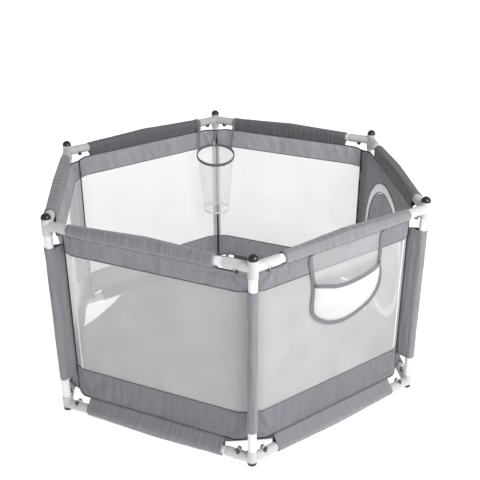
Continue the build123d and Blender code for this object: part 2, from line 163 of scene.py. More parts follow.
class PLAYPEN_PG_colours(bpy.types.PropertyGroup):
    """Colours of the cloth, the nets and the frame."""

    cloth: colour_property("Cloth", "Grey cloth of sleeves, bands and floor",
                           (0.205, 0.203, 0.222))
    solid_cloth: colour_property("Solid wall", "Cloth of the wall with the door",
                                 (0.190, 0.188, 0.204))
    floor_cloth: colour_property("Floor", "Cloth of the floor", (0.250, 0.250, 0.262))
    binding: colour_property("Binding", "Bindings of pocket and hoop", (0.125, 0.130, 0.142))
    piping: colour_property("Piping", "Dark corner seams", (0.022, 0.022, 0.034))
    net: colour_property("Net", "White net", (0.74, 0.74, 0.74))
    tape: colour_property("Zip tape", "Tape round the door", (0.84, 0.83, 0.79))
    moulding: colour_property("Mouldings", "Hubs and sockets", (0.470, 0.475, 0.462))
    tube: colour_property("Tubes", "Painted tubes", (0.68, 0.675, 0.735))
    cap: colour_property("Caps", "Caps and feet", (0.012, 0.011, 0.012))
    metal: colour_property("Zip metal", "Slider and pull of the zip", (0.42, 0.42, 0.45))


class PLAYPEN_PG_studio(bpy.types.PropertyGroup):
    """Light and camera of the studio."""

    key: bpy.props.FloatProperty(
        name="Key light", description="Power of the large soft light at the front right",
        default=60.0, min=0.0, max=500.0, unit="POWER")
    sky: bpy.props.FloatProperty(
        name="Fill light", description="Strength of the white surroundings",
        default=0.58, min=0.0, max=5.0)
    ground: bpy.props.FloatProperty(
        name="Ground light", description="Light given by the lit white ground",
        default=0.66, min=0.0, max=5.0)
    lens: bpy.props.FloatProperty(
        name="Lens", description="Focal length in millimetres on a 36 mm sensor",
        default=59.11, min=20.0, max=200.0)


# ---------------------------------------------------------------- places


def post_xy(index):
    turn = math.radians(-90 - 60 * index)
    return np.array((SIDE * math.cos(turn), SIDE * math.sin(turn)))


class Wall:
    """The frame of one wall: u along it from its first post, o out of the pen, z up."""

    def __init__(self, index):
        self.index = index
        self.first, self.second = POSTS[index], POSTS[(index + 1) % 6]
        self.name = self.first + self.second
        self.start = post_xy(index)
        self.along = (post_xy(index + 1) - self.start) / SIDE
        self.out = np.array((-self.along[1], self.along[0]))
        self.body = f"post_{self.first}"
        self.node = f"wall_{self.name}"

    def at(self, u, o, z):
        u, o, z = np.broadcast_arrays(u, o, z)
        flat = self.start + u[..., None] * self.along + o[..., None] * self.out
        return np.concatenate([flat, z[..., None]], -1)

    def across(self, a_along, a_out, a_up):
        """A direction in the row frame."""
        return np.array((*(self.along * a_along + self.out * a_out), a_up))


WALLS = [Wall(i) for i in range(6)]
WALL = {w.name: w for w in WALLS}


class Post:
    """The frame of one post: x towards the pen's middle, y to its left, z up."""

    def __init__(self, letter):
        self.letter = letter
        self.place = post_xy(POSTS.index(letter))
        self.inward = -self.place / SIDE
        self.left = np.array((-self.inward[1], self.inward[0]))

    def at(self, x, y, z):
        x, y, z = np.broadcast_arrays(x, y, z)
        flat = self.place + x[..., None] * self.inward + y[..., None] * self.left
        return np.concatenate([flat, z[..., None]], -1)


def smooth(t):
    t = np.clip(t, 0.0, 1.0)
    return t * t * (3 - 2 * t)


def dyed(colour, share):
    """The colour made lighter or darker, and never past white."""
    return tuple(min(1.0, c * share) for c in colour)


def ripples(seed, x, y, pitch_x, pitch_y, count=6):
    """Soft uneven waves, the same each run."""
    draw = np.random.RandomState(seed)
    total = 0.0
    for _ in range(count):
        wave_x = 2 * math.pi / pitch_x * draw.uniform(0.55, 1.5)
        wave_y = 2 * math.pi / pitch_y * draw.uniform(-1.0, 1.0)
        phase, height = draw.uniform(0, 2 * math.pi), draw.uniform(0.5, 1.0)
        total = total + height * np.sin(wave_x * x + wave_y * y + phase)
    return total / math.sqrt(count)


def wall_offset(u, z, solid=False):
    """Where a wall's cloth is, out of the plane of its rails: flat between its corner seams."""
    heights, insets = (SOLID_HEIGHTS, SOLID_INSETS) if solid else (FACE_HEIGHTS, FACE_INSETS)
    face = -np.interp(z, heights, insets)
    edge = np.minimum(u, SIDE - u)
    t = np.clip((edge - SEAM_ALONG) / CORNER_TURN, 0.0, 1.0)
    t = t * (1.4 - 0.4 * t)
    return -SEAM_INSET * (1 - t) + face * t


def corner_folds(seed, u, z, corner_z, reach, count=11):
    """Pulled folds that fan out from the two lower or upper corners of a band."""
    draw = np.random.RandomState(seed)
    total = 0.0
    for corner_u in (0.075, SIDE - 0.075):
        du, dz = np.abs(u - corner_u) + 0.004, z - corner_z
        turn, far = np.arctan2(np.abs(dz), du), np.hypot(du, dz)
        phase = draw.uniform(0, 2 * math.pi)
        wave = np.sin(count * turn + phase + 14 * far) + 0.5 * np.sin(2.3 * count * turn + phase)
        total = total + wave * np.exp(-far / reach) * smooth(far / 0.02)
    return total


# ---------------------------------------------------------------- meshes


def new_piece(name, points, faces, uv_of_corner, material, thickness=0.0):
    """A smooth mesh piece with a UV map in metres, made thick evenly on both sides."""
    mesh = bpy.data.meshes.new(name)
    mesh.from_pydata(points.tolist(), [], faces)
    layer = mesh.uv_layers.new(name="Cloth")
    layer.uv.foreach_set("vector", np.asarray(uv_of_corner, np.float32).ravel())
    mesh.polygons.foreach_set("use_smooth", [True] * len(mesh.polygons))
    mesh.materials.append(material)
    mesh.update()
    piece = bpy.data.objects.new(name, mesh)
    bpy.context.scene.collection.objects.link(piece)
    if thickness:
        thick = piece.modifiers.new("Thickness", "SOLIDIFY")
        thick.thickness, thick.offset = thickness, 0.0
        thick.use_even_offset = False
    return piece


def grid_piece(name, points, uv, material, thickness=0.0, wrap=False):
    """A sheet from rows of points; with wrap the last column joins the first."""
    rows, columns = points.shape[:2]
    span = columns if wrap else columns - 1
    faces, corners = [], []
    for r in range(rows - 1):
        for c in range(span):
            d = (c + 1) % columns
            faces.append((r * columns + c, r * columns + d, (r + 1) * columns + d,
                          (r + 1) * columns + c))
            corners.extend((uv[r, c], uv[r, c + 1], uv[r + 1, c + 1], uv[r + 1, c]))
    return new_piece(name, points.reshape(-1, 3), faces, corners, material, thickness)


def run_lengths(path):
    steps = np.linalg.norm(np.diff(path, axis=0), axis=1)
    return np.concatenate([[0.0], np.cumsum(steps)])


def strip_mesh(path, across, width, thickness, closed=False):
    """Points, faces and corner UVs of a flat strip with rounded edges along a path."""
    path, count = np.asarray(path, float), len(path)
    across = np.broadcast_to(np.asarray(across, float), path.shape)
    if closed:
        tangent = np.roll(path, -1, 0) - np.roll(path, 1, 0)
    else:
        tangent = np.gradient(path, axis=0)
    tangent = tangent / np.linalg.norm(tangent, axis=1, keepdims=True)
    across = across - (across * tangent).sum(1, keepdims=True) * tangent
    across = across / np.linalg.norm(across, axis=1, keepdims=True)
    normal = np.cross(tangent, across)
    turns = np.linspace(0, 2 * math.pi, 12, endpoint=False) + math.pi / 12
    side = np.sign(np.cos(turns)) * np.abs(np.cos(turns)) ** 0.45 * width / 2
    face = np.sign(np.sin(turns)) * np.abs(np.sin(turns)) ** 0.75 * thickness / 2
    points = (path[:, None] + side[None, :, None] * across[:, None]
              + face[None, :, None] * normal[:, None])
    length = run_lengths(path)
    if closed:
        length = np.append(length, length[-1] + np.linalg.norm(path[0] - path[-1]))
    rows, ring = (count if closed else count - 1), len(turns)
    faces, corners = [], []
    for r in range(rows):
        s = (r + 1) % count
        for c in range(ring):
            d = (c + 1) % ring
            faces.append((r * ring + c, s * ring + c, s * ring + d, r * ring + d))
            corners.extend(((length[r], side[c]), (length[r + 1], side[c]),
                            (length[r + 1], side[d]), (length[r], side[d])))
    if not closed:
        for row, order in ((0, range(ring)), (count - 1, range(ring - 1, -1, -1))):
            faces.append(tuple(row * ring + c for c in order))
            corners.extend((length[row], side[c]) for c in order)
    return points.reshape(-1, 3), faces, corners


def strips_piece(name, strips, material):
    """One piece from several strips, each (path, across, width, thickness, closed)."""
    points, faces, corners = [], [], []
    for strip in strips:
        made = strip_mesh(*strip)
        start = sum(len(p) for p in points)
        points.append(made[0])
        faces.extend(tuple(start + v for v in face) for face in made[1])
        corners.extend(made[2])
    return new_piece(name, np.concatenate(points), faces, corners, material)


def rounded_path(points, count):
    """A smooth curve through the given points (Catmull-Rom), evenly spaced."""
    points = np.asarray(points, float)
    padded = np.vstack([2 * points[0] - points[1], points, 2 * points[-1] - points[-2]])
    fine = []
    for i in range(len(points) - 1):
        a, b, c, d = padded[i:i + 4]
        t = np.linspace(0, 1, 24, endpoint=False)[:, None]
        fine.append(0.5 * (2 * b + (c - a) * t + (2 * a - 5 * b + 4 * c - d) * t ** 2
                           + (3 * b - a - 3 * c + d) * t ** 3))
    fine = np.vstack([*fine, points[-1:]])
    length = run_lengths(fine)
    at = np.linspace(0, length[-1], count)
    return np.stack([np.interp(at, length, fine[:, k]) for k in range(fine.shape[1])], 1)


# ---------------------------------------------------------------- finishes


def node(tree, kind, inputs=None, **settings):
    """A shader node. Inputs are values or sockets, by name or number."""
    made = tree.nodes.new("ShaderNode" + kind)
    for key, value in settings.items():
        setattr(made, key, value)
    for key, value in (inputs or {}).items():
        if isinstance(value, bpy.types.NodeSocket):
            tree.links.new(value, made.inputs[key])
        else:
            made.inputs[key].default_value = value
    return made


def calc(tree, operation, *values):
    return node(tree, "Math", dict(enumerate(values)), operation=operation).outputs[0]


def between(tree, value, low, high, to_low, to_high):
    return node(tree, "MapRange", {"Value": value, "From Min": low, "From Max": high,
                                   "To Min": to_low, "To Max": to_high}).outputs[0]


def tinted(tree, colour, shares, low, high):
    """A colour scaled by the shares socket, between low and high."""
    scale = between(tree, shares, 0.0, 1.0, low, high)
    return node(tree, "VectorMath", {0: (*colour,), "Scale": scale},
                operation="SCALE").outputs[0]


def bumped(tree, height, strength, distance, under=None):
    inputs = {"Height": height, "Strength": strength, "Distance": distance}
    if under is not None:
        inputs["Normal"] = under
    return node(tree, "Bump", inputs).outputs[0]


def empty_material(name):
    material = bpy.data.materials.new(name)
    material.use_nodes = True
    material.node_tree.nodes.clear()
    return material, material.node_tree


def shown(tree, shader):
    node(tree, "OutputMaterial", {"Surface": shader})


def wave(tree, vector, pitch, direction):
    turns = 20.0 if direction in "XY" else 10.0
    return node(tree, "TexWave", {"Vector": vector, "Scale": 2 * math.pi / (turns * pitch),
                                  "Distortion": 0.0},
                wave_type="BANDS", bands_direction=direction).outputs["Fac"]


def noise(tree, vector, scale, detail=3.0, roughness=0.55):
    return node(tree, "TexNoise", {"Vector": vector, "Scale": scale, "Detail": detail,
                                   "Roughness": roughness}).outputs["Fac"]


def cloth_finish(name, colour, see_through=0.0, sheen=0.25, crumple=0.5, creases=(75.0, 8.0)):
    """Woven polyester: fine weave, creases from pulling, painted lighter on their ridges and darker
    in their hollows as painted shade, a little sheen and soft wear.

    creases is how many soft creases a metre holds along and across the cloth.
    """
    sizes = bpy.context.scene.playpen_sizes
    material, tree = empty_material(name)
    flat = node(tree, "UVMap", uv_map="Cloth").outputs[0]
    place = node(tree, "TexCoord").outputs["Object"]
    warp = wave(tree, flat, sizes.weave_pitch, "X")
    weft = wave(tree, flat, sizes.weave_pitch, "Y")
    weave = calc(tree, "MULTIPLY", warp, weft)
    cloud = noise(tree, place, 7.0, 4.0)
    small = noise(tree, place, 55.0, 5.0, 0.6)
    threads = noise(tree, node(tree, "Mapping", {"Vector": flat, "Scale": (900.0, 45.0, 1.0)}
                               ).outputs[0], 1.0, 2.0)
    crease_height_and_shade = noise(tree, node(tree, "Mapping", {"Vector": flat, "Scale": (*creases, 1.0)}
                              ).outputs[0], 1.0, 2.0, 0.5)
    crease_height_and_shade = between(tree, crease_height_and_shade, 0.3, 0.7, 0.0, 1.0)
    mixed = calc(tree, "ADD", calc(tree, "MULTIPLY", cloud, 0.35),
                 calc(tree, "ADD", calc(tree, "MULTIPLY", threads, 0.20),
                      calc(tree, "MULTIPLY", weave, 0.20)))
    # the crease height also lightens the crease ridges and darkens their hollows in the colour:
    # painted shade
    mixed = calc(tree, "ADD", mixed, calc(tree, "MULTIPLY", crease_height_and_shade, 0.30))
    shade = tinted(tree, colour, mixed, 0.76, 1.22)
    normal = bumped(tree, crease_height_and_shade, 0.8, 0.0034)
    normal = bumped(tree, small, crumple, 0.0014, normal)
    normal = bumped(tree, weave, 0.30, 0.00025, normal)
    body = node(tree, "BsdfPrincipled", {
        "Base Color": shade, "Roughness": between(tree, small, 0.3, 0.7, 0.50, 0.68),
        "Specular IOR Level": 0.35, "Sheen Weight": sheen, "Sheen Roughness": 0.45,
        "Normal": normal}).outputs[0]
    if see_through:
        through = tinted(tree, (0.90, 0.89, 0.93), mixed, 0.72, 1.06)
        glow = node(tree, "BsdfTranslucent", {"Color": through})
        body = node(tree, "MixShader", {0: see_through, 1: body, 2: glow.outputs[0]}).outputs[0]
    shown(tree, body)
    return material


def net_finish(name, colour, thin, thick):
    """Fine diamond net: thin and thick are how solid its holes and threads look."""
    pitch = bpy.context.scene.playpen_sizes.net_pitch
    material, tree = empty_material(name)
    flat = node(tree, "UVMap", uv_map="Cloth").outputs[0]
    mirrored = node(tree, "Mapping", {"Vector": flat, "Scale": (1.0, -1.0, 1.0)}).outputs[0]
    one = wave(tree, flat, pitch, "DIAGONAL")
    other = wave(tree, mirrored, pitch, "DIAGONAL")
    threads = calc(tree, "MAXIMUM", one, other)
    cloud = noise(tree, flat, 9.0, 2.0)
    solid = between(tree, threads, 0.45, 0.95, thin, thick)
    solid = calc(tree, "ADD", solid, between(tree, cloud, 0.3, 0.7, -0.03, 0.03))
    body = node(tree, "BsdfPrincipled", {
        "Base Color": tinted(tree, colour, cloud, 0.95, 1.03), "Alpha": solid,
        "Roughness": between(tree, threads, 0.0, 1.0, 0.75, 0.6),
        "Specular IOR Level": 0.2, "Sheen Weight": 0.15,
        "Normal": bumped(tree, threads, 0.4, 0.0003)}).outputs[0]
    glow = node(tree, "BsdfTranslucent", {"Color": (*colour, 1.0)}).outputs[0]
    clear = node(tree, "BsdfTransparent", {"Color": (1.0, 1.0, 1.0, 1.0)}).outputs[0]
    glow = node(tree, "MixShader", {0: solid, 1: clear, 2: glow}).outputs[0]
    shown(tree, node(tree, "MixShader", {0: 0.35, 1: body, 2: glow}).outputs[0])
    return material


def binding_finish(name, colour, stitched=True):
    """Folded binding tape with a line of stitches near each edge."""
    sizes = bpy.context.scene.playpen_sizes
    material, tree = empty_material(name)
    flat = node(tree, "UVMap", uv_map="Cloth").outputs[0]
    place = node(tree, "TexCoord").outputs["Object"]
    ribs = wave(tree, flat, 0.0009, "X")
    cloud = noise(tree, place, 30.0, 4.0)
    mixed = calc(tree, "ADD", calc(tree, "MULTIPLY", cloud, 0.7), calc(tree, "MULTIPLY", ribs, 0.3))
    shade = tinted(tree, colour, mixed, 0.75, 1.25)
    normal = bumped(tree, ribs, 0.35, 0.0003)
    if stitched:
        parts = node(tree, "SeparateXYZ", {0: flat}).outputs
        edge = calc(tree, "ABSOLUTE", parts[1])
        line = calc(tree, "COMPARE", edge, sizes.binding_width * 0.34, 0.0005)
        dash = calc(tree, "GREATER_THAN", wave(tree, flat, sizes.stitch_pitch, "X"), 0.3)
        stitch = calc(tree, "MULTIPLY", line, dash)
        light = tuple(min(1.0, c * 1.9 + 0.03) for c in colour)
        shade = node(tree, "Mix", {"Factor": stitch, "A": shade, "B": (*light, 1.0)},
                     data_type="RGBA")
        shade = shade.outputs["Result"]
        normal = bumped(tree, stitch, 0.8, 0.0004, normal)
    body = node(tree, "BsdfPrincipled", {
        "Base Color": shade, "Roughness": between(tree, cloud, 0.3, 0.7, 0.6, 0.8),
        "Sheen Weight": 0.2, "Specular IOR Level": 0.3, "Normal": normal}).outputs[0]
    shown(tree, body)
    return material


def hard_finish(name, colour, roughness, grain, grain_depth, coat=0.0, metallic=0.0):
    """Moulded plastic, paint or metal: fine grain, uneven gloss, dust and rubbed spots."""
    material, tree = empty_material(name)
    place = node(tree, "TexCoord").outputs["Object"]
    shade, rough, normal = hard_sockets(tree, place, colour, roughness, grain, grain_depth)
    body = node(tree, "BsdfPrincipled", {
        "Base Color": shade, "Roughness": rough, "Metallic": metallic, "Coat Weight": coat,
        "Coat Roughness": 0.15, "Normal": normal}).outputs[0]
    shown(tree, body)
    return material


def hard_sockets(tree, place, colour, roughness, grain, grain_depth):
    fine = noise(tree, place, grain, 3.0)
    cloud = noise(tree, place, 18.0, 4.0)
    shade = tinted(tree, colour, cloud, 0.93, 1.05)
    rough = between(tree, cloud, 0.3, 0.7, roughness * 0.85, roughness * 1.2)
    return shade, rough, bumped(tree, fine, 0.35, grain_depth)


def rail_finish(wall, colours):
    """Tube paint, moulded sockets and mid heads, darker pins, and painted shadow in the hinge gaps
    and where the sockets end, by place on a rail.
    """
    material, tree = empty_material(f"Rail finish {wall.name}")
    place = node(tree, "TexCoord").outputs["Object"]
    far = node(tree, "VectorMath", {0: place, 1: (*wall.along, 0.0)}, operation="DOT_PRODUCT")
    u = calc(tree, "SUBTRACT", far.outputs["Value"], float(wall.start @ wall.along))
    edge = calc(tree, "MINIMUM", u, calc(tree, "SUBTRACT", SIDE, u))
    z = node(tree, "SeparateXYZ", {0: place}).outputs[2]
    is_top = calc(tree, "GREATER_THAN", z, 0.3)
    axis_z = between(tree, is_top, 0.0, 1.0, LOW_RAIL_Z, TOP_RAIL_Z)
    up = between(tree, is_top, 0.0, 1.0, -1.0, 1.0)
    away = calc(tree, "MULTIPLY", calc(tree, "SUBTRACT", z, axis_z), up)  # from the pivot's side
    pivot = between(tree, is_top, 0.0, 1.0, -PIVOT_RISE, -PIVOT_DROP)
    radial = calc(tree, "SQRT", calc(
        tree, "ADD", calc(tree, "POWER", calc(tree, "SUBTRACT", edge, HUB_PIVOT_OUT), 2.0),
        calc(tree, "POWER", calc(tree, "SUBTRACT", away, pivot), 2.0)))
    pin = calc(tree, "LESS_THAN", radial, 0.0026)
    mitre = calc(tree, "SUBTRACT", MITRE_MIDDLE, calc(tree, "MULTIPLY", away, MITRE_SLOPE))
    # near black on the mitred end and half a millimetre past it: painted shadow in the hinge gap
    gap = calc(tree, "LESS_THAN", edge, calc(tree, "ADD", mitre, 0.0005))
    # a near-black crescent a little out from the mitre, widest on the rail's lower side: painted
    # shadow of the open joint
    low_side = calc(tree, "SUBTRACT", axis_z, z)
    share = between(tree, low_side, 0.001, SOCKET_RADIUS, 0.0, 1.0)
    slit_shadow = calc(tree, "SUBTRACT", edge, calc(tree, "MULTIPLY_ADD", share, 0.004, 0.0465))
    slit_shadow = calc(tree, "LESS_THAN", calc(tree, "ABSOLUTE", slit_shadow),
                calc(tree, "MULTIPLY", share, 0.0030))
    joint_shadow_and_pins = calc(tree, "MAXIMUM", gap, slit_shadow)
    # a thin line where the socket ends on the tube is painted 30 percent dark as painted shadow in
    # the gap between socket and tube; the pins take the same share as their own darker colour
    rim = calc(tree, "COMPARE", edge, SOCKET_END + 0.0004, 0.0005)
    pins_and_rim_shadow = calc(tree, "MULTIPLY", calc(tree, "MAXIMUM", pin, rim), 0.30)
    joint_shadow_and_pins = calc(tree, "MAXIMUM", joint_shadow_and_pins, pins_and_rim_shadow)
    mid = calc(tree, "LESS_THAN", calc(tree, "ABSOLUTE", calc(tree, "SUBTRACT", u, MIDDLE)),
               0.0124)
    moulded = calc(tree, "MAXIMUM", calc(tree, "LESS_THAN", edge, SOCKET_END), mid)
    tube, tube_rough, tube_normal = hard_sockets(tree, place, colours.tube, 0.34, 700.0, 0.00012)
    socket, socket_rough, _ = hard_sockets(tree, place, colours.moulding, 0.46, 420.0, 0.0002)
    shade = node(tree, "Mix", {"Factor": moulded, "A": tube, "B": socket},
                 data_type="RGBA").outputs["Result"]
    # mix in near black where the joint shadows are painted and on the pins
    shade = node(tree, "Mix", {"Factor": joint_shadow_and_pins, "A": shade, "B": (0.02, 0.02, 0.022, 1.0)},
                 data_type="RGBA").outputs["Result"]
    rough = node(tree, "Mix", {"Factor": moulded, "A": tube_rough, "B": socket_rough},
                 data_type="FLOAT").outputs["Result"]
    body = node(tree, "BsdfPrincipled", {
        "Base Color": shade, "Roughness": rough, "Coat Weight": 0.15, "Coat Roughness": 0.2,
        "Normal": tube_normal}).outputs[0]
    shown(tree, body)
    return material


def finish(name):
    """The named cloth, net or binding finish, made once."""
    if name in bpy.data.materials:
        return bpy.data.materials[name]
    colours = bpy.context.scene.playpen_colours
    net = tuple(colours.net)
    cloth, solid, binding = colours.cloth, colours.solid_cloth, colours.binding
    makers = {
        "Sleeve cloth": lambda n: cloth_finish(n, dyed(cloth, 0.92), 0.0, 0.25),
        # a darker copy of the sleeve cloth for the sleeves of the far walls: painted shade
        "Shaded sleeve cloth": lambda n: cloth_finish(n, dyed(cloth, 0.56), 0.0, 0.10),
        "Band cloth": lambda n: cloth_finish(n, dyed(cloth, 1.35), 0.56, 0.20, 0.40),
        "Skirt cloth": lambda n: cloth_finish(n, dyed(cloth, 1.15), 0.54, 0.22, 0.50),
        "Solid wall cloth": lambda n: cloth_finish(n, solid, 0.26, 0.20, 0.45, (7.0, 60.0)),
        "Door cloth": lambda n: cloth_finish(
            n, dyed(solid, 1.25), 0.34, 0.20, 0.40, (12.0, 30.0)),
        "Floor cloth": lambda n: cloth_finish(
            n, colours.floor_cloth, 0.0, 0.20, 0.60, (9.0, 9.0)),
        "Wall net": lambda n: net_finish(n, net, 0.42, 0.74),
        "Net hem": lambda n: net_finish(n, dyed(net, 1.2), 0.60, 0.80),
        "Pocket net": lambda n: net_finish(n, dyed(net, 1.08), 0.72, 0.96),
        "Pocket back net": lambda n: net_finish(n, net, 0.22, 0.46),
        "Hoop net": lambda n: net_finish(n, dyed(net, 1.3), 0.14, 0.44),
        "Binding": lambda n: binding_finish(n, binding),
        "Dark strap": lambda n: binding_finish(n, dyed(binding, 1.3)),
        # dark cloth on the seam ridges: painted shade of the fold along each seam; the zip coils
        # are drawn with the same cloth
        "Seam ridge": lambda n: binding_finish(n, dyed(cloth, 0.55), False),
        "Corner piping": lambda n: binding_finish(n, colours.piping, False),
        "Zip tape": lambda n: cloth_finish(
            n, dyed(colours.tape, 1.15), 0.60, 0.15, 0.35, (30.0, 30.0)),
        "Zip metal": lambda n: hard_finish(n, colours.metal, 0.35, 500.0, 0.0001, 0.0, 0.9),
    }
    return makers[name](name)


# ---------------------------------------------------------------- how pieces move


def sewn(piece, node_name):
    """The piece stands for its solid, which is hidden."""
    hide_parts(node_name)
    return piece


def on_wall(piece, wall, body=None):
    """Rides on the wall's first post."""
    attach(piece, body or wall.body)
    tuple(wall.across(1, 0, 0))
    tuple(wall.at(SEAM_ALONG, 0.0, 0.0))
    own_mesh(piece)
    return piece


# ---------------------------------------------------------------- sleeves


def sleeve_section(level):
    """Section of a rail's sleeve from seam round the tube to seam: out, and away from the seam."""
    arc = np.radians(np.linspace(196, -55, 30))
    inner = [(-0.0134, -0.0278), (-0.0147, -0.0215), (-0.0153, -0.0150), (-0.0155, -0.0090)]
    tube = [(SLEEVE_RADIUS * math.cos(a), SLEEVE_RADIUS * math.sin(a)) for a in arc]
    end = np.array((-0.0112, -0.0270))
    outer = [tuple(np.array(tube[-1]) * (1 - t) + end * t) for t in (0.25, 0.5, 0.75, 1.0)]
    section = np.array(inner + tube + outer)
    if level == "low":
        section[:, 1] += np.where(section[:, 1] < -0.02, -0.0085, 0.0) \
            + np.where(np.abs(section[:, 1] + 0.0175) < 0.0025, -0.003, 0.0)
    return section


def sleeve_points(wall, level, u_start, u_end, whole):
    """Rows of points along a sleeve. whole is the sleeve's full run, for hems and creases."""
    section = sleeve_section(level)
    out, lift = section[:, 0], section[:, 1]
    count = max(24, int((u_end - u_start) / 0.0042))
    u = np.linspace(u_start, u_end, count)[:, None]
    turn = np.arctan2(lift, out)[None, :]
    around = run_lengths(section)[None, :]
    seed = 40 + wall.index + (20 if level == "low" else 0)
    from_end = np.minimum(u - whole[0], whole[1] - u)
    crease = ripples(seed, u, around, 0.060, 0.10) * (0.35 + 0.9 * np.exp(-from_end / 0.05))
    pleat = ripples(seed + 7, u, around, 0.013, 0.20, 4)
    on_flank = smooth((-lift[None, :] - 0.002) / 0.010) * smooth((lift[None, :] + 0.030) / 0.006)
    inner_side = 0.9 if wall.name in ("de", "ef", "cd") else 0.22
    mouth = -0.0013 * (1 - smooth(from_end / 0.007))
    pull = 0.0005 * crease + 0.0008 * pleat * on_flank * inner_side + mouth
    hem = 0.0006 * (1 - smooth((from_end - 0.006) / 0.004))
    radius = 1 + (pull + hem + 0.0004) / SLEEVE_RADIUS
    knuckle = 1 - np.clip((np.abs(u - MIDDLE) - 0.006) / 0.225, 0.0, 1.0)
    target = KNUCKLE_TOP if level == "top" else KNUCKLE_LOW
    share = knuckle * smooth((np.sin(turn) - 0.25) / 0.45)
    high = lift[None, :] * radius
    high = high + share * (target - high)
    wide = out[None, :] * (1 + (radius - 1) * smooth((lift[None, :] + 0.026) / 0.012))
    z = TOP_RAIL_Z + high if level == "top" else LOW_RAIL_Z - high
    z = np.maximum(z, 0.0012)
    points = wall.at(u + 0 * z, wide + 0 * z, z)
    uv = np.stack([u + 0 * z, around + 0 * z], -1)
    return points, uv


def rail_sleeve(name, wall, level, u_start, u_end, whole, bodies):
    """A sleeve, or its half, that rides on one half rail, or is left unattached where it runs over
    two.
    """
    points, uv = sleeve_points(wall, level, u_start, u_end, whole)
    thickness = bpy.context.scene.playpen_sizes.cloth_thickness
    # the far walls cd, de and ef take the darker copy of the sleeve cloth: painted shade
    cloth = "Shaded sleeve cloth" if wall.name in ("cd", "de", "ef") else "Sleeve cloth"
    piece = grid_piece(name, points, uv, finish(cloth), thickness)
    sewn(piece, wall.node)
    if len(bodies) == 1:
        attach(piece, bodies[0])
    else:
        height = TOP_RAIL_Z
        tuple(wall.at(MIDDLE - 0.045, 0.0, height))
        tuple(wall.at(MIDDLE + 0.045, 0.0, height))
        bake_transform(piece)
    return piece


class PLAYPEN_OT_rail_sleeves(bpy.types.Operator):
    """Sew the cloth sleeves round the top and bottom rails."""

    bl_idname = "playpen.rail_sleeves"
    bl_label = "Rail sleeves"

    def execute(self, context):
        for wall in WALLS:
            top, low = TOP_SLEEVES[wall.name], LOW_SLEEVES[wall.name]
            first, second = (f"top_rail_{wall.name}_{post}" for post in wall.name)
            if wall.name == "de":
                rail_sleeve(f"top_sleeve_{wall.name}_{wall.first}", wall, "top", top[0], MIDDLE,
                            top, [first])
                rail_sleeve(f"top_sleeve_{wall.name}_{wall.second}", wall, "top", MIDDLE, top[1],
                            top, [second])
            else:
                rail_sleeve(f"top_sleeve_{wall.name}", wall, "top", *top, top, [first, second])
            for post, start, end in ((wall.first, low[0], MIDDLE), (wall.second, MIDDLE, low[1])):
                rail_sleeve(f"bottom_sleeve_{wall.name}_{post}", wall, "low", start, end, low,
                            [f"bottom_rail_{wall.name}_{post}"])
        return {"FINISHED"}


class PLAYPEN_OT_post_sleeves(bpy.types.Operator):
    """Sew the sleeve of each post, with its flap to the corner seam and the seam's piping."""

    bl_idname = "playpen.post_sleeves"
    bl_label = "Post sleeves"

    def execute(self, context):
        thickness = context.scene.playpen_sizes.cloth_thickness
        tangent = math.acos(POST_SLEEVE_RADIUS / 0.0425)
        arc = np.linspace(tangent, 2 * math.pi - tangent, 26)
        ring = [(POST_SLEEVE_RADIUS * math.cos(a), POST_SLEEVE_RADIUS * math.sin(a)) for a in arc]
        sides = [(t, 0.0012 + (ring[0][1] - 0.0012) * (0.0425 - t) / (0.0425 - ring[0][0]))
                 for t in (0.0425, 0.033, 0.024, 0.015)]
        section = np.array(sides + ring + [(x, -y) for x, y in reversed(sides)])
        section = np.vstack([section, section[:1]])
        around = run_lengths(section)
        for index, letter in enumerate(POSTS):
            post, wall = Post(letter), WALLS[index]
            z = np.linspace(0.114, 0.556, 72)[:, None]
            from_end = np.minimum(z - 0.114, 0.556 - z)
            pull = ripples(80 + index, around[None, :] * 3, z, 0.16, 0.05)
            pull = pull * (0.00035 + 0.0009 * np.exp(-from_end / 0.045))
            pull[:, -1] = pull[:, 0]
            round_post = smooth((0.040 - section[None, :, 0]) / 0.02)
            scale = 1 + (pull + 0.0006) / POST_SLEEVE_RADIUS * round_post
            x, y = section[None, :, 0] * scale, section[None, :, 1] * scale
            points = post.at(x, y, z + 0 * x)
            uv = np.stack([around[None, :] + 0 * x, z + 0 * x], -1)
            piece = grid_piece(f"post_sleeve_{letter}", points[:, :-1], uv,
                               finish("Sleeve cloth"), thickness, wrap=True)
            sewn(piece, wall.node)
            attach(piece, f"post_{letter}")
            seam = post.at(np.full(60, SEAM_INWARD - 0.0004), 0.0,
                           np.linspace(STITCH_LOW_Z, STITCH_TOP_Z, 60))
            seam[:, :2] += (0.0006 * np.sin(np.linspace(0, 9, 60)))[:, None] * post.left
            piping = strips_piece(f"corner_seam_{letter}",
                                  [(seam, (*post.left, 0.0), 0.0078, 0.0040)],
                                  finish("Corner piping"))
            sewn(piping, wall.node)
            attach(piping, f"post_{letter}")
        return {"FINISHED"}


# ---------------------------------------------------------------- walls


def wall_sheet(name, wall, z_low, z_high, rows, columns, finish_name, push, thickness,
               step=0.0):
    """A sheet of a wall between its corner seams. push moves it out of its plane."""
    u = np.linspace(SEAM_ALONG, SIDE - SEAM_ALONG, columns)[None, :]
    z = np.linspace(z_low, z_high, rows)[:, None]
    u, z = np.broadcast_arrays(u, z)
    fade = smooth(np.minimum(u - SEAM_ALONG, SIDE - SEAM_ALONG - u) / 0.02)
    o = wall_offset(u, z) + push(u, z) * fade + step
    points = wall.at(u, o, z)
    piece = grid_piece(name, points, np.stack([u, z], -1), finish(finish_name), thickness)
    sewn(piece, wall.node)
    on_wall(piece, wall)
    return piece


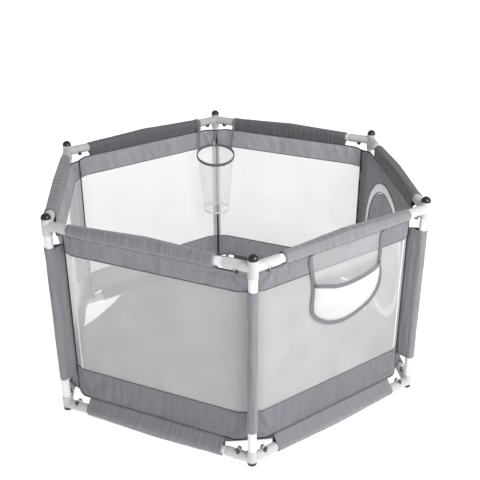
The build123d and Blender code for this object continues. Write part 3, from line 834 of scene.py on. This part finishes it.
def edge_line(wall, z, u_start, u_end, count, step=0.0, solid=False):
    u = np.linspace(u_start, u_end, count)
    return wall.at(u, wall_offset(u, z, solid) + step, np.full(count, z))


def band_push(wall, depth):
    def push(u, z):
        rise = smooth((STITCH_TOP_Z - z) / 0.012) * smooth((z - BAND_LOW_Z) / 0.010)
        edge = np.minimum(u, SIDE - u)
        streaks = ripples(110 + wall.index, u + 0.5 * (z - 0.56), z, 0.050, 0.30)
        streaks = streaks + 0.35 * ripples(120 + wall.index, u + 0.3 * (z - 0.56), z, 0.019, 0.30)
        folds = corner_folds(130 + wall.index, u, z, STITCH_TOP_Z, 0.075)
        return depth * rise * (streaks * (0.60 + np.exp(-edge / 0.12)) + 1.0 * folds)
    return push


def skirt_push(wall, depth):
    def push(u, z):
        share = (z - STITCH_LOW_Z) / (SKIRT_TOP_Z - STITCH_LOW_Z)
        rise = smooth(share / 0.12) * smooth((1 - share) / 0.14)
        edge = np.minimum(u, SIDE - u)
        streaks = ripples(150 + wall.index, u + 0.10 * z, z, 0.042, 0.40, 8)
        streaks = streaks + 0.35 * ripples(160 + wall.index, u - 0.15 * z, z, 0.018, 0.40, 6)
        folds = corner_folds(170 + wall.index, u, z, STITCH_LOW_Z, 0.10, 9)
        return depth * rise * (streaks * (0.55 + 0.5 * np.exp(-edge / 0.14)) * (1.2 - 0.6 * share)
                               + 1.6 * folds)
    return push


def net_push(wall):
    def push(u, z):
        share = (z - SKIRT_TOP_Z) / (BAND_LOW_Z - SKIRT_TOP_Z)
        belly = np.sin(math.pi * np.clip(share, 0, 1)) ** 0.8
        return belly * (0.0016 * ripples(190 + wall.index, u, z, 0.30, 0.40) - 0.0015)
    return push


class PLAYPEN_OT_walls(bpy.types.Operator):
    """Sew the five net walls, and the bands, hems and seams of all six."""

    bl_idname = "playpen.walls"
    bl_label = "Net walls"

    def execute(self, context):
        sizes = context.scene.playpen_sizes
        thick, depth = sizes.cloth_thickness, sizes.crease_depth
        ends = (SEAM_ALONG + 0.001, SIDE - SEAM_ALONG - 0.001)
        up = (0.0, 0.0, 1.0)
        for wall in WALLS:
            top, low = TOP_SLEEVES[wall.name], LOW_SLEEVES[wall.name]
            name = wall.name
            with_net = name != "ef"
            if with_net:
                wall_sheet(f"top_band_{name}", wall, BAND_LOW_Z, STITCH_TOP_Z, 18, 150,
                           "Band cloth", band_push(wall, depth), thick)
                wall_sheet(f"bottom_band_{name}", wall, STITCH_LOW_Z, SKIRT_TOP_Z, 24, 150,
                           "Skirt cloth", skirt_push(wall, depth), thick)
                wall_sheet(f"net_{name}", wall, SKIRT_TOP_Z - 0.004, BAND_LOW_Z + 0.004, 44, 76,
                           "Wall net", net_push(wall), 0.0, step=-0.0008)
                # the band seams take the dark ridge cloth: painted shade of their folds
                seams = [(edge_line(wall, z, *ends, 120), up, 0.0034, 0.0030)
                         for z in (BAND_LOW_Z + 0.001, SKIRT_TOP_Z - 0.001)]
                piece = strips_piece(f"band_seams_{name}", seams, finish("Seam ridge"))
                on_wall(sewn(piece, wall.node), wall)
            if name in ("ab", "bc", "fa"):
                u = NET_HEM_ALONG if name == "fa" else SIDE - NET_HEM_ALONG
                z = np.linspace(SKIRT_TOP_Z, BAND_LOW_Z, 30)
                line = wall.at(np.full(30, u), wall_offset(np.full(30, u), z) + 0.0008, z)
                hem = (line, wall.across(1, 0, 0), 0.0055, 0.0006)
                piece = strips_piece(f"net_hem_{name}", [hem], finish("Net hem"))
                on_wall(sewn(piece, wall.node), wall)
            # the sleeve seams take the same dark ridge cloth as painted fold shade
            ridges = [
                (edge_line(wall, STITCH_TOP_Z, top[0], top[1], 90, 0.0010), up, 0.0030, 0.0046),
                (edge_line(wall, STITCH_LOW_Z, low[0], low[1], 90, 0.0010), up, 0.0030, 0.0046),
            ]
            piece = strips_piece(f"sleeve_seams_{name}", ridges, finish("Seam ridge"))
            on_wall(sewn(piece, wall.node), wall)
            corners = []
            for z, sleeve in ((STITCH_TOP_Z, top), (STITCH_LOW_Z, low)):
                for near, far in ((sleeve[0] + 0.004, SEAM_ALONG),
                                  (sleeve[1] - 0.004, SIDE - SEAM_ALONG)):
                    corners.append((edge_line(wall, z, near, far, 24), up, 0.0042, 0.0034))
            piece = strips_piece(f"corner_bindings_{name}", corners, finish("Corner piping"))
            on_wall(sewn(piece, wall.node), wall)
        return {"FINISHED"}


# ---------------------------------------------------------------- door


def ring_line(wall, radius, count, step):
    turn = np.linspace(0, 2 * math.pi, count, endpoint=False)
    u, z = MIDDLE + radius * np.sin(turn), DOOR_Z + radius * np.cos(turn)
    return turn, wall.at(u, wall_offset(u, z, True) + step, z)


class PLAYPEN_OT_door(bpy.types.Operator):
    """Sew the solid wall with its round opening, the zip and the door flap."""

    bl_idname = "playpen.door"
    bl_label = "Zipped door"

    def execute(self, context):
        wall = WALL["ef"]
        sizes = context.scene.playpen_sizes
        thick, depth = sizes.cloth_thickness, sizes.crease_depth
        self.solid_sheet(wall, thick, depth)
        self.zip(wall)
        self.flap(wall, thick, depth)
        self.slider(wall)
        return {"FINISHED"}

    @staticmethod
    def solid_push(u, z, depth):
        edge = np.minimum(u, SIDE - u)
        rise = smooth((STITCH_TOP_Z - z) / 0.02) * smooth((z - STITCH_LOW_Z) / 0.02)
        level = ripples(210, z * 1.0, u, 0.055, 0.45, 7) * np.exp(-(edge - SEAM_ALONG) / 0.09)
        broad = ripples(211, u, z, 0.16, 0.20, 6)
        folds = corner_folds(212, u, z, STITCH_LOW_Z, 0.10, 9)
        return depth * rise * (1.1 * level + 0.7 * broad + 0.8 * folds)

    def solid_sheet(self, wall, thick, depth):
        low, high = STITCH_LOW_Z, STITCH_TOP_Z
        left, right = SEAM_ALONG, SIDE - SEAM_ALONG
        n = 40
        along, rise = np.linspace(left, right, n), np.linspace(high, low, n)
        border = np.vstack([
            np.stack([along, np.full(n, high)], 1)[:-1],
            np.stack([np.full(n, right), rise], 1)[:-1],
            np.stack([along[::-1], np.full(n, low)], 1)[:-1],
            np.stack([np.full(n, left), rise[::-1]], 1)[:-1]])
        turn = np.arctan2(border[:, 0] - MIDDLE, border[:, 1] - DOOR_Z)
        hole = np.stack([MIDDLE + TAPE_OUTER * np.sin(turn), DOOR_Z + TAPE_OUTER * np.cos(turn)], 1)
        t = np.linspace(0, 1, 22)[:, None, None]
        flat = hole[None] * (1 - t) + border[None] * t
        u, z = flat[..., 0], flat[..., 1]
        fade = smooth((np.hypot(u - MIDDLE, z - DOOR_Z) - TAPE_OUTER) / 0.03)
        o = wall_offset(u, z, True) + self.solid_push(u, z, depth) * fade
        points = wall.at(u, o, z)
        uv = np.concatenate([flat, flat[:, :1]], 1)
        piece = grid_piece("solid_wall_ef", points, uv, finish("Solid wall cloth"), thick,
                           wrap=True)
        sewn(piece, wall.node)
        on_wall(piece, wall)

    @staticmethod
    def zip(wall):
        turn = np.linspace(0, 2 * math.pi, 120, endpoint=False)[None, :]
        radius = np.linspace(TAPE_INNER, TAPE_OUTER, 9)[:, None]
        u, z = MIDDLE + radius * np.sin(turn), DOOR_Z + radius * np.cos(turn)
        o = wall_offset(u, z, True) + 0.0005 * ripples(220, turn, radius, 0.5, 0.3)
        wrapped = np.concatenate([turn, turn[:, :1] + 2 * math.pi], 1) * TAPE_OUTER
        uv = np.stack(np.broadcast_arrays(wrapped, radius), -1)
        tape = grid_piece("zip_tape", wall.at(u, o, z), uv, finish("Zip tape"), 0.0030, wrap=True)
        sewn(tape, wall.node)
        on_wall(tape, wall)
        strips = []
        for radius, width, thick in ((TAPE_OUTER + 0.0012, 0.0040, 0.0046),
                                     (TAPE_INNER - 0.0004, 0.0036, 0.0050)):
            turns, line = ring_line(wall, radius, 160, 0.0)
            outward = np.array([wall.across(math.sin(a), 0.0, math.cos(a)) for a in turns])
            strips.append((line, outward, width, thick, True))
        piece = strips_piece("zip_coils", strips, finish("Seam ridge"))
        on_wall(sewn(piece, wall.node), wall)

    @staticmethod
    def flap(wall, thick, depth):
        turn = np.linspace(0, 2 * math.pi, 96, endpoint=False)[None, :]
        radius = np.linspace(0.004, DOOR_RADIUS - 0.0005, 34)[:, None]
        u, z = MIDDLE + radius * np.sin(turn), DOOR_Z + radius * np.cos(turn)
        share = radius / DOOR_RADIUS
        o = wall_offset(u, z, True) + 0.0026 * (1 - share ** 2)
        o = o + depth * (1 - share ** 6) * ripples(230, u, z, 0.15, 0.18)
        points = wall.at(u, o, z)
        uv = np.stack([np.concatenate([u, u[:, :1]], 1), np.concatenate([z, z[:, :1]], 1)], -1)
        flap = grid_piece("door_cloth", points, uv, finish("Door cloth"), thick, wrap=True)
        centre_face(flap, range(96), (MIDDLE, DOOR_Z))
        sewn(flap, "door_flap")
        on_wall(flap, wall, "door")

    @staticmethod
    def slider(wall):
        track = TAPE_INNER + 0.0018
        here = np.array((math.sin(SLIDER_TURN), math.cos(SLIDER_TURN)))
        ahead = np.array((math.cos(SLIDER_TURN), -math.sin(SLIDER_TURN)))

        def line(start, end, depth, count=10):
            t = np.linspace(start, end, count)[:, None]
            flat = np.array((MIDDLE, DOOR_Z)) + here * track + ahead * t
            return wall.at(flat[:, 0], np.full(count, -0.0228 - depth), flat[:, 1])

        radial = wall.across(here[0], 0.0, here[1])
        strips = [
            (line(-0.007, 0.007, 0.0022), radial, 0.0085, 0.0016),
            (line(-0.006, 0.006, 0.0036), radial, 0.0052, 0.0022),
            (line(0.0025, 0.0085, 0.0049), radial, 0.0030, 0.0012),
            (line(0.0080, 0.0265, 0.0041), radial, 0.0048, 0.0012),
        ]
        piece = strips_piece("zip_pull", strips, finish("Zip metal"))
        sewn(piece, "zip_slider")
        on_wall(piece, wall, "zip_slider")


def centre_face(piece, ring, middle_uv):
    """Closes the middle of a round sheet with one face."""
    import bmesh

    made = bmesh.new()
    made.from_mesh(piece.data)
    made.verts.ensure_lookup_table()
    layer = made.loops.layers.uv.verify()
    face = made.faces.new([made.verts[i] for i in reversed(ring)])
    face.smooth = True
    for corner in face.loops:
        corner[layer].uv = middle_uv
    made.to_mesh(piece.data)
    made.free()


# ---------------------------------------------------------------- floor


class PLAYPEN_OT_floor(bpy.types.Operator):
    """Sew the floor from twelve gores that fold up with the bottom rails."""

    bl_idname = "playpen.floor"
    bl_label = "Floor"

    def execute(self, context):
        reach = SIDE * math.sqrt(3) / 2
        for wall in WALLS:
            for first in (True, False):
                inward = np.linspace(0.0150, reach - 0.0005, 46)[:, None]
                start = np.maximum(inward / math.sqrt(3), 2 * (FLOOR_CORNER - 0.866 * inward))
                t = np.linspace(0, 1, 22)[None, :]
                edge = start + (MIDDLE - start) * t
                u = edge if first else SIDE - edge
                place = wall.at(u, -inward + 0 * u, 0 * u)
                x, y = place[..., 0], place[..., 1]
                rim = 1 - smooth((inward - 0.015) / 0.045)
                soft = ripples(240, x, y, 0.30, 0.24) + 0.5 * ripples(241, x, y, 0.11, 0.13)
                z = 0.0030 + 0.0085 * rim + 0.0016 * np.maximum(soft, -1.0) * (1 - rim) + 0.0008
                points = wall.at(u, -inward + 0 * u, z + 0 * u)
                letter = wall.first if first else wall.second
                piece = grid_piece(f"floor_{wall.name}_{letter}", points, np.stack([x, y], -1),
                                   finish("Floor cloth"), 0.0010)
                sewn(piece, "floor")
                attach(piece, f"bottom_rail_{wall.name}_{letter}")
                tuple(wall.across(0, 1, 0))
                tuple(wall.at(MIDDLE, -0.0150, 0.0))
                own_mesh(piece)
        return {"FINISHED"}


# ---------------------------------------------------------------- pocket


def pocket_place(wall, flat, out):
    """Pocket points, given back from post a and up, placed out from the wall's cloth."""
    u, z = SIDE - flat[..., 0], flat[..., 1]
    return wall.at(u, wall_offset(u, z) + out, z)


class PLAYPEN_OT_pocket(bpy.types.Operator):
    """Sew the net pocket with its binding and straps on the outside of wall fa."""

    bl_idname = "playpen.pocket"
    bl_label = "Pocket"

    def execute(self, context):
        wall = WALL["fa"]
        width = context.scene.playpen_sizes.binding_width
        columns, rows = 56, 26
        edge, lip = rounded_path(POCKET_EDGE, columns), rounded_path(POCKET_LIP, columns)
        s, t = np.linspace(0, 1, columns)[None, :], np.linspace(0, 1, rows)[:, None]
        flat = lip[None] * (1 - t[..., None]) + edge[None] * t[..., None]
        belly = (4 * s * (1 - s)) ** 0.55 * (1 - np.clip(t / 0.90, 0.0, 1.0) ** 2.2) ** 0.8
        folds = 0.0012 * ripples(250, flat[..., 0], flat[..., 1], 0.05, 0.09) * belly
        out = 0.0026 + POCKET_BULGE * belly + folds
        points = pocket_place(wall, flat, out)
        front = grid_piece("pocket_front", points, flat, finish("Pocket net"))
        on_wall(sewn(front, "pocket"), wall)

        back_top = np.stack([np.linspace(POCKET_STRAPS[0][0][0], POCKET_STRAPS[1][0][0], columns),
                             np.full(columns, 0.592)], 1)
        flat = back_top[None] * (1 - t[..., None]) + edge[None] * t[..., None]
        flat[..., 0] = np.clip(flat[..., 0], 0.199, 0.474)
        points = pocket_place(wall, flat, 0.0022 + 0 * flat[..., 0])
        back = grid_piece("pocket_back", points, flat, finish("Pocket back net"))
        on_wall(sewn(back, "pocket"), wall)

        strips = []
        rim = np.vstack([POCKET_STRAPS[0][:-1], POCKET_EDGE, POCKET_STRAPS[1][-2::-1]])
        rim = rounded_path(rim, 150)
        around = pocket_place(wall, rim, np.full(len(rim), 0.0052))
        strips.append((around, self.in_plane(around, wall), width * 0.92, 0.0022))
        top = pocket_place(wall, lip, 0.0054 + POCKET_BULGE * belly[0])
        strips.append((top, (0.0, 0.0, 1.0), width, 0.0022))
        piece = strips_piece("pocket_binding", strips, finish("Binding"))
        on_wall(sewn(piece, "pocket"), wall)
        return {"FINISHED"}

    @staticmethod
    def in_plane(path, wall):
        tangent = np.gradient(path, axis=0)
        tangent /= np.linalg.norm(tangent, axis=1, keepdims=True)
        return np.cross(tangent, wall.across(0, 1, 0))


# ---------------------------------------------------------------- hoop


def hoop_ring(post, radius, rise, turns):
    """Points of a circle in the hoop's tilted plane."""
    x = radius * np.cos(turns)
    lean_x = x * math.cos(HOOP_TILT) + rise * math.sin(HOOP_TILT)
    lean_z = -x * math.sin(HOOP_TILT) + rise * math.cos(HOOP_TILT)
    return post.at(HOOP_INWARD + lean_x, HOOP_ASIDE + radius * np.sin(turns), HOOP_Z + lean_z)


class PLAYPEN_OT_hoop(bpy.types.Operator):
    """Sew the ball hoop: bound ring, open net, two side straps and a back strap."""

    bl_idname = "playpen.hoop"
    bl_label = "Ball hoop"

    def execute(self, context):
        post = Post("d")
        turns = np.linspace(0, 2 * math.pi, 96, endpoint=False)
        ring = hoop_ring(post, HOOP_RADIUS, 0.0, turns)
        upright = (*(post.inward * math.sin(HOOP_TILT)), math.cos(HOOP_TILT))
        band = strips_piece("hoop_band", [(ring, upright, 0.0115, 0.0044, True)],
                            finish("Binding"))
        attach(sewn(band, "hoop_ring"), "post_d")

        t = np.linspace(0, 1, 30)[:, None, None]
        high = hoop_ring(post, HOOP_RADIUS - 0.001, -0.003, turns)[None]
        rim = (HOOP_INWARD + NET_LOW_RADIUS * np.cos(turns),
               HOOP_ASIDE + NET_LOW_RADIUS * np.sin(turns))
        low = post.at(*rim, np.full(96, NET_LOW_Z))[None]
        points = high * (1 - t) + low * t
        wave_out = 0.0011 * ripples(260, turns[None, :] * 0.07, t[..., 0] * 0.2, 0.05, 0.5)
        wave_out = wave_out * np.sin(math.pi * t[..., 0])
        points[..., :2] += wave_out[..., None] * (
            np.cos(turns)[:, None] * post.inward + np.sin(turns)[:, None] * post.left)
        wrapped = np.append(turns, 2 * math.pi)[None, :] * 0.060
        uv = np.stack(np.broadcast_arrays(wrapped, NET_LOW_Z + (1 - t[..., 0]) * 0.218), -1)
        net = grid_piece("hoop_cloth", points, uv, finish("Hoop net"), wrap=True)
        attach(sewn(net, "hoop_net"), "post_d")
        hem = post.at(*rim, np.full(96, NET_LOW_Z + 0.003))
        piece = strips_piece("hoop_net_hem", [(hem, (0.0, 0.0, 1.0), 0.007, 0.0010, True)],
                             finish("Net hem"))
        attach(sewn(piece, "hoop_net"), "post_d")

        for wall in (WALL["cd"], WALL["de"]):
            u = SIDE - STRAP_ALONG if wall.name == "cd" else STRAP_ALONG
            around = np.radians(np.linspace(-40, 180, 16))
            loop = wall.at(np.full(16, u), 0.0176 * np.cos(around),
                           TOP_RAIL_Z + 0.0176 * np.sin(around))
            side, other = hoop_ring(post, HOOP_RADIUS + 0.0028, 0.0,
                                    np.radians((123, -123)))
            gap = [np.linalg.norm(p - loop[-1]) for p in (side, other)]
            low = side if gap[0] < gap[1] else other
            fall = np.linspace(0, 1, 18)[1:, None]
            path = np.vstack([loop, loop[-1] * (1 - fall) + (low + (0, 0, -0.005)) * fall])
            strap = strips_piece(f"hoop_strap_{wall.name}",
                                 [(path, wall.across(1, 0, 0), 0.0105, 0.0018)],
                                 finish("Dark strap"))
            sewn(strap, "hoop_ring")
            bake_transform(strap)
        top = post.at(np.array(0.0465), np.array(0.0), np.array(STITCH_TOP_Z + 0.001))
        back = hoop_ring(post, HOOP_RADIUS + 0.0035, 0.002, np.array((math.pi,)))[0]
        path = rounded_path([top, top * 0.5 + back * 0.5 + (0, -0.0015, 0), back,
                             back + (0, 0, -0.008)], 24)
        strap = strips_piece("hoop_strap_back", [(path, (*post.left, 0.0), 0.0085, 0.0018)],
                             finish("Dark strap"))
        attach(sewn(strap, "hoop_ring"), "post_d")
        turn = np.linspace(0, 2 * math.pi, 20, endpoint=False)
        loop = back + np.stack([0 * turn, 0.0052 * np.cos(turn), 0.0085 * np.sin(turn)], 1)
        tie = strips_piece("hoop_tie", [(loop, (*post.left, 0.0), 0.006, 0.0016, True)],
                           finish("Net hem"))
        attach(sewn(tie, "hoop_ring"), "post_d")
        return {"FINISHED"}


# ---------------------------------------------------------------- frame and stage


class PLAYPEN_OT_frame_finishes(bpy.types.Operator):
    """Give the tubes, moulded joints, caps and feet their finishes."""

    bl_idname = "playpen.frame_finishes"
    bl_label = "Frame finishes"

    def execute(self, context):
        colours = context.scene.playpen_colours
        tube = hard_finish("Tube paint", colours.tube, 0.34, 700.0, 0.00012, 0.2)
        moulding = hard_finish("Moulded plastic", colours.moulding, 0.46, 420.0, 0.0002, 0.05)
        cap = hard_finish("Cap plastic", colours.cap, 0.24, 900.0, 0.00006, 0.0)
        rails = {wall.name: rail_finish(wall, colours) for wall in WALLS}
        for name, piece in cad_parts.items():
            if name.startswith("post_"):
                finish_of = tube
            elif "_hub_" in name:
                finish_of = moulding
            elif name.startswith("end_caps_"):
                finish_of = cap
            elif "_rail_" in name:
                finish_of = rails[name.split("_")[2]]
            else:
                continue
            for slot_index in range(len(piece.data.materials)):
                piece.data.materials[slot_index] = finish_of
        return {"FINISHED"}


class PLAYPEN_OT_stage(bpy.types.Operator):
    """Set up the pale floor, the soft studio light and the camera."""

    bl_idname = "playpen.stage"
    bl_label = "Studio"

    def execute(self, context):
        scene, studio = context.scene, context.scene.playpen_studio
        self.ground(scene, studio.ground)
        world = bpy.data.worlds.new("Studio")
        scene.world = world
        world.use_nodes = True
        background = world.node_tree.nodes["Background"]
        background.inputs["Color"].default_value = (1.0, 1.0, 1.0, 1.0)
        background.inputs["Strength"].default_value = studio.sky
        key = bpy.data.lights.new("Key", "AREA")
        key.energy, key.shape, key.size, key.size_y = studio.key, "RECTANGLE", 1.3, 1.0
        lamp = bpy.data.objects.new("Key", key)
        lamp.location = (1.30, -1.85, 1.95)
        towards = lamp.location - Vector((0.10, -0.35, 0.45))
        lamp.rotation_euler = towards.to_track_quat("Z", "Y").to_euler()
        lamp.visible_camera = False
        scene.collection.objects.link(lamp)
        self.camera(scene, studio)
        scene.view_settings.view_transform = "Standard"
        return {"FINISHED"}

    @staticmethod
    def ground(scene, light):
        half = 30.0
        mesh = bpy.data.meshes.new("Ground")
        corners = [(-half, -half, 0), (half, -half, 0), (half, half, 0), (-half, half, 0)]
        mesh.from_pydata(corners, [], [(0, 1, 2, 3)])
        material, tree = empty_material("Ground paper")
        place = node(tree, "TexCoord").outputs["Object"]
        cloud = noise(tree, place, 1.5, 3.0)
        shown(tree, node(tree, "BsdfPrincipled", {
            "Base Color": tinted(tree, (0.93, 0.93, 0.93), cloud, 0.985, 1.015),
            "Roughness": 0.85, "Specular IOR Level": 0.2, "Emission Color": (1.0, 1.0, 1.0, 1.0),
            "Emission Strength": light}).outputs[0])
        mesh.materials.append(material)
        ground = bpy.data.objects.new("Ground", mesh)
        scene.collection.objects.link(ground)

    @staticmethod
    def camera(scene, studio):
        yaw, pitch, roll = math.radians(5.85), math.radians(-25.76), math.radians(-0.19)
        ahead = Vector((math.sin(yaw) * math.cos(pitch), math.cos(yaw) * math.cos(pitch),
                        math.sin(pitch)))
        right = Vector((math.cos(yaw), -math.sin(yaw), 0.0))
        up = right.cross(ahead)
        axes = (right * math.cos(roll) + up * math.sin(roll),
                up * math.cos(roll) - right * math.sin(roll), -ahead)
        data = bpy.data.cameras.new("Camera")
        data.lens = studio.lens
        camera = bpy.data.objects.new("Camera", data)
        place = Matrix(axes).transposed().to_4x4()
        place.translation = Vector((-0.2076, -2.3313, 1.5308))
        camera.matrix_world = place
        scene.collection.objects.link(camera)
        scene.camera = camera


class PLAYPEN_PT_panel(bpy.types.Panel):
    """The playpen's pieces and sizes in the sidebar."""

    bl_idname = "PLAYPEN_PT_panel"
    bl_label = "Playpen"
    bl_space_type = "VIEW_3D"
    bl_region_type = "UI"
    bl_category = "Playpen"

    def draw(self, context):
        for operator in OPERATORS:
            self.layout.operator(operator.bl_idname)
        for group in ("playpen_sizes", "playpen_colours", "playpen_studio"):
            box = self.layout.box()
            values = getattr(context.scene, group)
            for key in values.__annotations__:
                box.prop(values, key)


OPERATORS = (
    PLAYPEN_OT_stage,
    PLAYPEN_OT_frame_finishes,
    PLAYPEN_OT_rail_sleeves,
    PLAYPEN_OT_post_sleeves,
    PLAYPEN_OT_walls,
    PLAYPEN_OT_door,
    PLAYPEN_OT_floor,
    PLAYPEN_OT_pocket,
    PLAYPEN_OT_hoop,
)
GROUPS = {
    "playpen_sizes": PLAYPEN_PG_sizes,
    "playpen_colours": PLAYPEN_PG_colours,
    "playpen_studio": PLAYPEN_PG_studio,
}


def register():
    for entry in (*GROUPS.values(), *OPERATORS, PLAYPEN_PT_panel):
        bpy.utils.register_class(entry)
    for key, group in GROUPS.items():
        setattr(bpy.types.Scene, key, bpy.props.PointerProperty(type=group))


def unregister():
    for key in GROUPS:
        delattr(bpy.types.Scene, key)
    for entry in reversed((*GROUPS.values(), *OPERATORS, PLAYPEN_PT_panel)):
        bpy.utils.unregister_class(entry)


def main():
    register()
    for operator in OPERATORS:
        family, name = operator.bl_idname.split(".")
        getattr(getattr(bpy.ops, family), name)()


if __name__ == "__main__":
    main()
